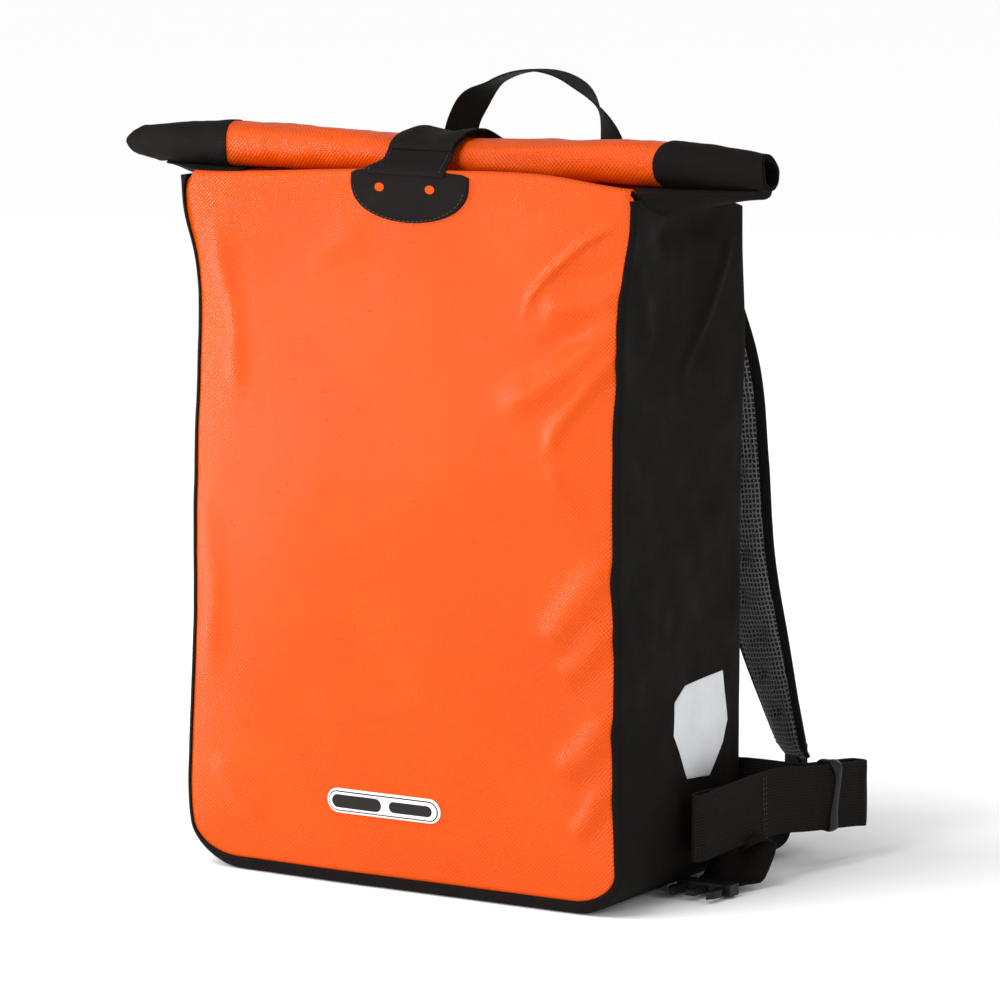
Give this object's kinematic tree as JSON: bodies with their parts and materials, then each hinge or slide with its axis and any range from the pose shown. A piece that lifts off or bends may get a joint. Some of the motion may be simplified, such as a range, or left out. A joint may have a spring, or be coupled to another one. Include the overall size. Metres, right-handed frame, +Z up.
{
  "type": "roll-top rucksack",
  "caption": "Upright box-shaped roll-top bag of coated fabric with a rolled, strapped-down mouth, carry handle, padded shoulder straps and a stowed waist belt.",
  "frame": {"origin": "middle of the flat base, on the surface the bag stands on", "axes": "+Z up, front panel faces -Y, wearer's side faces +Y, +X is to the right of someone who faces the front panel"},
  "size_m": [0.55, 0.3284, 0.592],
  "materials": {
    "coated_orange": "glossy coated tarpaulin",
    "coated_black": "matte coated weave",
    "webbing": "ribbed woven webbing",
    "spacer_mesh": "knitted spacer mesh over foam",
    "plastic": "moulded",
    "reflective": "retroreflective film",
    "badge_white": "smooth",
    "stiff_sheet": "smooth sheet"
  },
  "bodies": {
    "bag": {"front_panel": "coated_orange", "back_panel": "coated_black", "side_and_base_strip": "coated_black", "throat_cover": "coated_orange", "back_stiffener": "stiff_sheet", "shoulder_yoke": "coated_black", "closure_patch": "coated_black", "closure_strap_anchor": "webbing", "front_badge": "badge_white", "throat_ear_left": "coated_black", "handle_anchor_left": "webbing", "back_pad_left": "spacer_mesh", "shoulder_root_left": "coated_black", "lower_anchor_left": "coated_black", "belt_anchor_left": "webbing", "side_reflector_left": "reflective", "throat_ear_right": "coated_black", "handle_anchor_right": "webbing", "back_pad_right": "spacer_mesh", "shoulder_root_right": "coated_black", "lower_anchor_right": "coated_black", "belt_anchor_right": "webbing", "side_reflector_right": "reflective"},
    "mouth_neck": {"throat_neck": "coated_orange"},
    "mouth_roll": {"rolled_mouth": "coated_orange", "rolled_mouth_end_left": "coated_black", "rolled_mouth_end_right": "coated_black", "lip_stiffener_front": "stiff_sheet", "lip_stiffener_back": "stiff_sheet"},
    "closure_strap": {"closure_strap": "webbing"},
    "closure_tab": {"closure_tab": "coated_black"},
    "carry_handle": {"carry_handle": "webbing"},
    "shoulder_strap_left": {"shoulder_pad_left": "coated_black", "shoulder_mesh_left": "spacer_mesh", "ladder_lock_left": "plastic", "lower_web_left": "webbing"},
    "waist_belt_left": {"waist_belt_left": "webbing", "waist_buckle_socket": "plastic"},
    "belt_keeper_left": {"belt_keeper_left": "webbing"},
    "shoulder_strap_right": {"shoulder_pad_right": "coated_black", "shoulder_mesh_right": "spacer_mesh", "ladder_lock_right": "plastic", "lower_web_right": "webbing"},
    "waist_belt_right": {"waist_belt_right": "webbing", "waist_buckle_plug": "plastic"},
    "belt_keeper_right": {"belt_keeper_right": "webbing"},
    "waist_prong_outer": {"waist_prong_outer": "plastic"},
    "waist_prong_inner": {"waist_prong_inner": "plastic"}
  },
  "joints": [
    {"name": "roll_rise", "type": "slide", "parent": "bag", "child": "mouth_neck", "axis": [0, 0, 1], "range_m": [0, 0.0635], "deforming": ["throat_neck"]},
    {"name": "roll_turn", "type": "hinge", "parent": "mouth_neck", "child": "mouth_roll", "pos_m": [0, -0.031, 0.5385], "axis": [1, 0, 0], "range_deg": [-181, 0]},
    {"name": "closure_strap_peel", "type": "hinge", "parent": "bag", "child": "closure_strap", "pos_m": [0, 0.0985, 0.5065], "axis": [-1, 0, 0], "range_deg": [0, 50.5]},
    {"name": "closure_tab_fold", "type": "hinge", "parent": "bag", "child": "closure_tab", "pos_m": [0, -0.0845, 0.5235], "axis": [1, 0, 0], "range_deg": [0, 112.5]},
    {"name": "carry_handle_swing", "type": "hinge", "parent": "bag", "child": "carry_handle", "pos_m": [0, 0.0985, 0.5055], "axis": [-1, 0, 0], "range_deg": [0, 90], "stiffness_Nm_per_rad": 0.05},
    {"name": "shoulder_strap_swing_left", "type": "hinge", "parent": "bag", "child": "shoulder_strap_left", "pos_m": [-0.085, 0.114, 0.456], "axis": [-0.1497, -0.0246, -0.9884], "range_deg": [-8, 26], "stiffness_Nm_per_rad": 0.4},
    {"name": "waist_belt_unfold_left", "type": "hinge", "parent": "bag", "child": "waist_belt_left", "pos_m": [-0.17, 0.099, 0.062], "axis": [0, 0, -1], "range_deg": [0, 20]},
    {"name": "belt_keeper_slide_left", "type": "slide", "parent": "waist_belt_left", "child": "belt_keeper_left", "axis": [-0.208, 0.9781, 0], "range_m": [-0.012, 0.012]},
    {"name": "shoulder_strap_swing_right", "type": "hinge", "parent": "bag", "child": "shoulder_strap_right", "pos_m": [0.085, 0.114, 0.456], "axis": [-0.1497, 0.0246, 0.9884], "range_deg": [-8, 26], "stiffness_Nm_per_rad": 0.4},
    {"name": "waist_belt_unfold_right", "type": "hinge", "parent": "bag", "child": "waist_belt_right", "pos_m": [0.17, 0.099, 0.062], "axis": [0, 0, 1], "range_deg": [0, 20]},
    {"name": "belt_keeper_slide_right", "type": "slide", "parent": "waist_belt_right", "child": "belt_keeper_right", "axis": [0.208, 0.9781, 0], "range_m": [-0.012, 0.012]},
    {"name": "waist_prong_squeeze_outer", "type": "hinge", "parent": "waist_belt_right", "child": "waist_prong_outer", "pos_m": [0.2118, 0.0102, 0.0062], "axis": [0, 0, -1], "range_deg": [0, 8], "stiffness_Nm_per_rad": 0.15},
    {"name": "waist_prong_squeeze_inner", "type": "hinge", "parent": "waist_belt_right", "child": "waist_prong_inner", "pos_m": [0.1812, 0.0102, 0.0062], "axis": [0, 0, 1], "range_deg": [0, 8], "stiffness_Nm_per_rad": 0.15}
  ],
  "couplings": [
    {"joint": "roll_turn", "follows": "roll_rise", "rad_per_m": -49.474},
    {"joint": "closure_strap_peel", "follows": "roll_rise", "rad_per_m": 13.743},
    {"joint": "closure_tab_fold", "follows": "roll_rise", "rad_per_m": 30.784}
  ]
}
